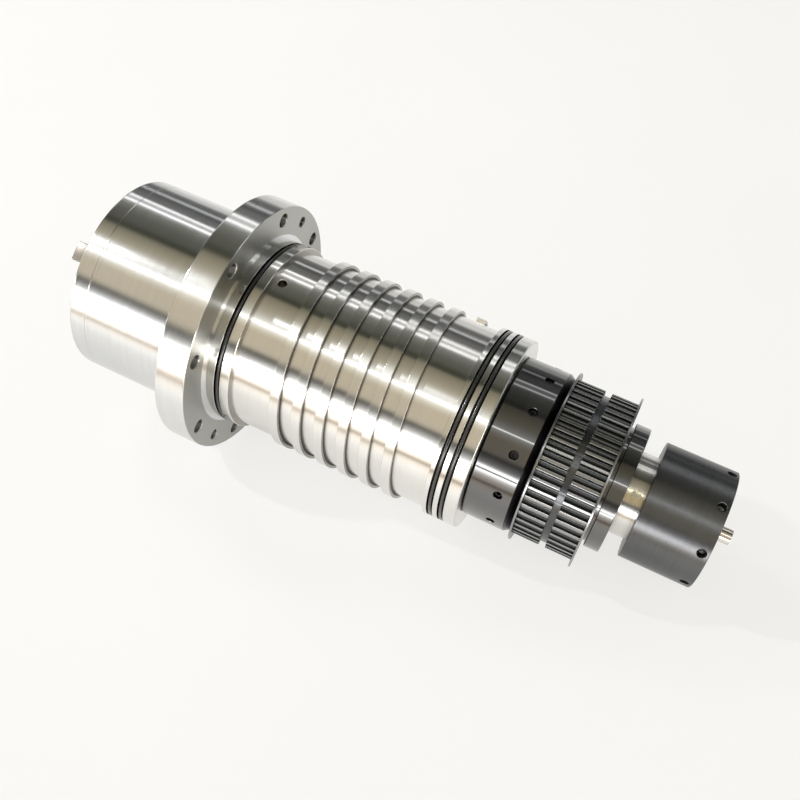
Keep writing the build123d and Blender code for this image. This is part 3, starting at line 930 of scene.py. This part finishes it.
def socket_screw(shape, base, out, radius, height, key):
    """Head of a socket screw: a round head with an eased rim and a hexagonal recess."""
    side = out.orthogonal().normalized()
    other = out.cross(side)

    def ring_of(along, size, hexagon=False):
        ring = []
        for k in range(SCREW_SIDES):
            angle = 2 * pi * k / SCREW_SIDES
            reach = size
            if hexagon:
                reach = size / cos((angle + pi / 6) % (pi / 3) - pi / 6)
            point = base + out * along + side * (reach * cos(angle)) + other * (reach * sin(angle))
            ring.append(shape.verts.new(point * MM))
        return ring

    close_rod(shape, [
        ring_of(0.0, radius), ring_of(height - 0.6, radius), ring_of(height - 0.15, radius - 0.3),
        ring_of(height, radius - 0.8), ring_of(height, key + 0.35, True), ring_of(height - 0.3, key, True),
        ring_of(height * 0.45, key, True),
    ])


def screw_object(name, shape):
    thing = add_object(name, mesh_from(name, shape), [screw_black])
    shade_by_angle(thing)
    return thing


def shade_by_angle(thing, degrees=32.0):
    """Smooth shading with sharp edges where faces meet at a larger angle."""
    mesh = thing.data
    mesh.polygons.foreach_set("use_smooth", [True] * len(mesh.polygons))
    shape = bmesh.new()
    shape.from_mesh(mesh)
    for edge in shape.edges:
        edge.smooth = len(edge.link_faces) == 2 and edge.calc_face_angle(0.0) < radians(degrees)
    shape.to_mesh(mesh)
    shape.free()


def make_seals():
    """Seals that nearly fill their grooves: each is a ring with an oval section."""
    rows = 20
    half_width, half_height, sink = 1.55, 1.7, 1.8
    pieces = []
    for number, middle in enumerate(SEAL_MIDDLES):
        shape = bmesh.new()
        rings = []
        for k in range(ROUND):
            ring = []
            for j in range(rows):
                turn = 2 * pi * j / rows
                x = middle + half_width * cos(turn)
                radius = PILOT_RADIUS - sink + half_height * sin(turn)
                ring.append(shape.verts.new(on_ring(x, radius, 2 * pi * k / ROUND)))
            rings.append(ring)
        for one, two in zip(rings, rings[1:] + rings[:1]):
            for j in range(rows):
                n = (j + 1) % rows
                shape.faces.new((one[j], one[n], two[n], two[j]))
        name = f"seal_ring_{number + 1}"
        mesh = mesh_from(name, shape)
        mesh.polygons.foreach_set("use_smooth", [True] * len(mesh.polygons))
        pieces.append(add_object(name, mesh, [seal_black]))
    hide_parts("seal_rings")
    ride_all("housing", *pieces)


# Turning pieces

def make_shaft():
    shaft = lathe("spindle", [
        (NOSE_FACE, 22.225, 0.8),
        (NOSE_FACE, 44.44, 1.0),
        (-112.0, 44.44),
        (-112.0, 48.0, 0.5),
        (-105.0, 48.0, 0.5),
        (-105.0, 41.0),
        (-100.0, 41.0),
        (-100.0, 35.0),
        (76.0, 35.0),
        (76.0, 34.0),
        (174.0, 34.0),
        (174.0, 32.5),
        (SHAFT_END, 32.5),
        (SHAFT_END, 18.0),
        (SPRINGS_START, 18.0),
        (SPRINGS_START, 13.0),
        (-50.5, 13.0),
        (-58.5, 16.5),
        (-74.0, 16.5),
        (-74.0, 12.6875),
        (-79.1, 12.6875),
    ], [shaft_steel, stub_steel])
    slots = bmesh.new()
    for turn in (0, 180):
        block(slots, NOSE_FACE - 1, NOSE_FACE + KEY_DEPTH, ROTOR_ANGLE + turn, KEY_WIDTH + 0.04, 25.0, 50.0)
    block(slots, *PULLEY_KEYWAY, ROTOR_ANGLE, 12.04, 28.5, 40.0)
    cut(shaft, slots)
    paint(shaft, lambda place, normal: int(STRAW_START < place.x < STRAW_END and hypot(place.y, place.z) > 30))
    smooth_round(shaft)
    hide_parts("spindle_shaft", "spindle_nose")
    ride_all("rotor", shaft)


def block(shape, start, end, angle, width, inner, outer, ease=0.0):
    """Block along X that stands on a radius at one angle; easing it needs a shape of its own."""
    c, s = cos(radians(angle)), sin(radians(angle))
    out, side = Vector((0, c, s)), Vector((0, -s, c))
    corners = []
    for x in (start, end):
        for reach in (inner, outer):
            for half in (-width / 2, width / 2):
                corners.append(shape.verts.new((Vector((x, 0, 0)) + out * reach + side * half) * MM))
    for face in ((0, 1, 3, 2), (4, 6, 7, 5), (0, 4, 5, 1), (2, 3, 7, 6), (0, 2, 6, 4), (1, 5, 7, 3)):
        shape.faces.new([corners[k] for k in face])
    if ease:
        bmesh.ops.bevel(shape, geom=shape.edges[:], offset=ease * MM, segments=2, affect="EDGES", profile=0.5)


def make_keys():
    pieces = []
    face = NOSE_FACE - KEY_REACH
    for number, turn in enumerate((0, 180)):
        shape = bmesh.new()
        block(shape, face, NOSE_FACE + KEY_DEPTH, ROTOR_ANGLE + turn, KEY_WIDTH, 25.02, 45.5, ease=0.8)
        name = f"drive_key_{number + 1}"
        key = add_object(name, mesh_from(name, shape), [key_steel])
        y, z = around(ROTOR_ANGLE + turn, KEY_SCREW_CIRCLE)
        hole = bmesh.new()
        base = Vector((face, y, z))
        stepped_rod(hole, base, Vector((1, 0, 0)), [(-1.0, 6.5), (0.5, 5.1), (KEY_SCREW_SINK, 5.1)])
        cut(key, hole)
        shade_by_angle(key, 30)
        head = bmesh.new()
        base += Vector((KEY_SCREW_SINK, 0, 0))
        socket_screw(head, base, Vector((-1, 0, 0)), radius=4.6, height=5.0, key=2.0)
        pieces += [key, screw_object(f"drive_key_screw_{number + 1}", head)]
    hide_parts("drive_keys")
    ride_all("rotor", *pieces)


def make_balance_ring():
    """Ring with a row of tapped holes, in each a set screw with a hexagonal recess."""
    ring = lathe("balance_ring", [
        (COVER_START, SHAFT_SEAT),
        (COVER_START, 40.0),
        (BALANCE_START, 40.0),
        (BALANCE_START, BALANCE_RADIUS, 0.5),
        (BALANCE_END - 5.3, BALANCE_RADIUS, 0.3),
        (BALANCE_END, BALANCE_RADIUS - 3.2, 0.3),
        (BALANCE_END, SHAFT_SEAT),
    ], [black_gloss, black_soft])
    holes = bmesh.new()
    screws = bmesh.new()
    for number in range(BALANCE_HOLES):
        angle = FIRST_BALANCE_HOLE + 360 / BALANCE_HOLES * number
        radial_hole(holes, BALANCE_HOLES_X, angle, BALANCE_RADIUS, 3.3, BALANCE_HOLE_DEPTH, 0.35)
        y, z = around(angle, 1.0)
        out = Vector((0, y, z))
        base = Vector((BALANCE_HOLES_X, 0, 0)) + out * (BALANCE_RADIUS - BALANCE_HOLE_DEPTH)
        socket_screw(screws, base, out, radius=3.25, height=BALANCE_HOLE_DEPTH - 2.2, key=1.5)
    cut(ring, holes)
    rim = BALANCE_RADIUS - 0.5
    paint(ring, lambda place, normal: 1 if abs(normal.x) > 0.3 or hypot(place.y, place.z) < rim else 0)
    smooth_round(ring)
    sunk = screw_object("balancing_screws", screws)
    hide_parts("balance_ring")
    ride_all("rotor", ring, sunk)


def tooth_outline():
    """One pitch of the belt teeth: a round gap between two lands with eased edges, as (angle, radius) in
    radians and millimetres."""
    gap, sink, tip = 2.7, 0.75, 0.5
    steps = 12
    half_mouth = sqrt(gap ** 2 - sink ** 2)
    side = half_mouth + tip
    points = []
    for k in range(steps + 1):
        turn = pi + pi * k / steps
        points.append((PULLEY_RADIUS - sink + gap * sin(turn), gap * cos(turn)))
    lips = [
        (PULLEY_RADIUS - 0.42, half_mouth + 0.03),
        (PULLEY_RADIUS - 0.12, half_mouth + 0.14),
        (PULLEY_RADIUS, side),
    ]
    outline = [(r, -y) for r, y in lips[::-1]] + points + lips
    half_pitch = pi / TEETH
    edge = atan2(side, PULLEY_RADIUS)
    result = [(-half_pitch, PULLEY_RADIUS)]
    result += [(atan2(y, r), hypot(r, y)) for r, y in outline]
    result.append(((half_pitch + edge) / 2, PULLEY_RADIUS))
    return result


def make_pulley():
    outline = tooth_outline()
    angles, radii = [], []
    for tooth in range(TEETH):
        turn = 2 * pi * tooth / TEETH
        for angle, radius in outline:
            angles.append(turn + angle)
            radii.append(radius)
    count = len(angles)
    floor = PULLEY_RADIUS - TOOTH_DEPTH
    # (x, radius), with None where the outline of the teeth gives the radius
    stations = [
        (BALANCE_END, SHAFT_SEAT), (BALANCE_END, PULLEY_HUB), (ROWS_START - 0.02, PULLEY_HUB),
        (ROWS_START, floor), (ROWS_START, None), (ROWS_START + ROW_WIDTH - 0.3, None),
        (ROWS_START + ROW_WIDTH, floor), (ROWS_END - ROW_WIDTH, floor),
        (ROWS_END - ROW_WIDTH + 0.3, None), (ROWS_END, None), (ROWS_END, floor),
        (ROWS_END + 0.02, PULLEY_HUB), (PULLEY_END, PULLEY_HUB), (PULLEY_END, SHAFT_SEAT),
    ]
    verts, faces, kinds = [], [], []
    for x, radius in stations:
        for k in range(count):
            verts.append(on_ring(x, radii[k] if radius is None else radius, angles[k]))
    top = PULLEY_RADIUS - 0.2
    for row in range(len(stations)):
        after = (row + 1) % len(stations)
        for k in range(count):
            n = (k + 1) % count
            faces.append((row * count + k, row * count + n, after * count + n, after * count + k))
            toothed = stations[row][1] is None and stations[after][1] is None
            grooved = stations[row][1] == floor and stations[after][1] == floor
            # the tops of the teeth get the painted highlight
            rim = toothed and radii[k] > top and radii[n] > top
            kinds.append(1 if rim else 2 if grooved else 0)
    mesh = mesh_of("timing_pulley", verts, faces)
    pulley = add_object("timing_pulley", mesh, [belt_dark, highlight_land_steel, groove_mid])
    for face, kind in zip(mesh.polygons, kinds):
        face.material_index = kind
    shade_by_angle(pulley, 35)
    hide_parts("timing_pulley")
    ride_all("rotor", pulley)


def make_pulley_flanges():
    pieces = []
    rim = PULLEY_FLANGE_RADIUS - 0.2
    for number, start in enumerate(PULLEY_FLANGE_STARTS):
        end = start + PULLEY_FLANGE_THICKNESS
        disc = lathe(f"pulley_flange_{number + 1}", [
            (start, PULLEY_HUB + 0.02),
            (start, PULLEY_FLANGE_RADIUS, 0.5),
            (end, PULLEY_FLANGE_RADIUS, 0.5),
            (end, PULLEY_HUB + 0.02),
        ], [black_soft, highlight_land_steel])
        # the rims get the painted highlight
        paint(disc, lambda place, normal: 1 if hypot(place.y, place.z) > rim else 0)
        smooth_round(disc)
        pieces.append(disc)
    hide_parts("pulley_flanges")
    ride_all("rotor", *pieces)


def make_nut():
    nut = lathe("pulley_lock_nut", [
        (PULLEY_END, SHAFT_SEAT),
        (PULLEY_END, 46.0, 0.3),
        (NUT_START, 46.0),
        (NUT_START, NUT_RADIUS, 0.6),
        (NUT_END, NUT_RADIUS, 0.8),
        (NUT_END, 33.0, 0.6),
        (NUT_END - 0.8, SHAFT_SEAT),
    ], [black_gloss, black_soft])
    paint(nut, lambda place, normal: 1 if abs(normal.x) > 0.9 else 0)
    smooth_round(nut)
    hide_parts("pulley_lock_nut")
    ride_all("rotor", nut)


def make_collar():
    collar = lathe("unclamp_collar", [
        (COLLAR_START, SHAFT_SEAT),
        (COLLAR_START, COLLAR_RADIUS, 0.5),
        (COLLAR_END, COLLAR_RADIUS, 0.7),
        (COLLAR_END, 6.0, 0.4),
        (SHAFT_END, 6.0),
        (SHAFT_END, SHAFT_SEAT),
    ], [collar_dark])
    holes = bmesh.new()
    for number in range(COLLAR_HOLES):
        angle = FIRST_COLLAR_HOLE + 360 / COLLAR_HOLES * number
        radial_hole(holes, COLLAR_HOLES_X, angle, COLLAR_RADIUS, radius=3.4, depth=8.0, chamfer=0.35)
    cut(collar, holes)
    smooth_round(collar)
    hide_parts("unclamp_collar")
    ride_all("rotor", collar)


def make_drawbar():
    bar = lathe("drawbar", [
        (-31.0, 0.0),
        (-31.0, 7.2, 0.5),
        (-27.0, 7.2, 0.5),
        (-27.0, 5.0),
        (-19.5, 5.0),
        (-19.5, 12.9, 0.4),
        (-9.0, 12.9, 0.4),
        (-9.0, 9.0),
        (SPRINGS_END, 9.0),
        (SPRINGS_END, 17.6, 0.4),
        (284.0, 17.6, 0.4),
        (284.0, 9.0),
        (350.0, 9.0, 0.4),
        (350.0, 5.95),
        (399.2, 5.95, 0.8),
        (399.2, 0.0),
    ], [tail_steel], segments=96)
    smooth_round(bar)
    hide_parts("drawbar")
    ride_all("drawbar", bar)


def make_springs():
    """Stack of cone springs, turned by pairs, between the shaft's step and the drawbar's collar."""
    pitch = (SPRINGS_END - SPRINGS_START) / SPRINGS
    rise = pitch - SPRING_THICKNESS - SPRING_GAP
    segments = 48
    verts, faces = [], []
    for number in range(SPRINGS):
        low = SPRINGS_START + SPRING_GAP / 2 + pitch * number
        inner, outer = (low, low + rise) if number % 2 == 0 else (low + rise, low)
        section = [
            (inner, SPRING_BORE), (outer, SPRING_RADIUS),
            (outer + SPRING_THICKNESS, SPRING_RADIUS), (inner + SPRING_THICKNESS, SPRING_BORE),
        ]
        first = len(verts)
        for k in range(segments):
            verts += [on_ring(x, radius, 2 * pi * k / segments) for x, radius in section]
        for k in range(segments):
            a, b = first + 4 * k, first + 4 * ((k + 1) % segments)
            faces += [(a + j, a + (j + 1) % 4, b + (j + 1) % 4, b + j) for j in range(4)]
    stack = add_object("disc_spring_stack", mesh_of("disc_spring_stack", verts, faces), [spring_steel])
    smooth_round(stack)
    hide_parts("disc_springs")
    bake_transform(stack)


def dress_hidden_nodes():
    """Materials for the CAD pieces that are shown as they are."""
    finish = {
        "bearing_outer_rings": bearing_steel,
        "bearing_inner_rings": bearing_steel,
        "bearing_ball_sets": bearing_steel,
        "rear_bearing_cover": face_steel,
        "front_lock_nut": black_soft,
        "pulley_key": key_steel,
    }
    for number in range(4):
        finish[f"gripper_finger_{number + 1}"] = key_steel
    for node, material in finish.items():
        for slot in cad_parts[node].material_slots:
            slot.material = material


place_camera()
make_floor()
make_world()
area_lamp("key_lamp", (-1.5, 0.5, 1.5), size=0.5, power=12.0, colour=(1.0, 0.98, 0.95), mirrored=False)
area_lamp("small_lamp", (-1.82, -0.57, 1.5), size=0.09, power=24.0, colour=(0.93, 0.96, 1.0), mirrored=True)
make_housing()
make_flange()
make_cap()
make_seals()
make_shaft()
make_keys()
make_balance_ring()
make_pulley()
make_pulley_flanges()
make_nut()
make_collar()
make_drawbar()
make_springs()
dress_hidden_nodes()

bpy.context.scene.view_settings.view_transform = "Standard"
bpy.context.view_layer.update()
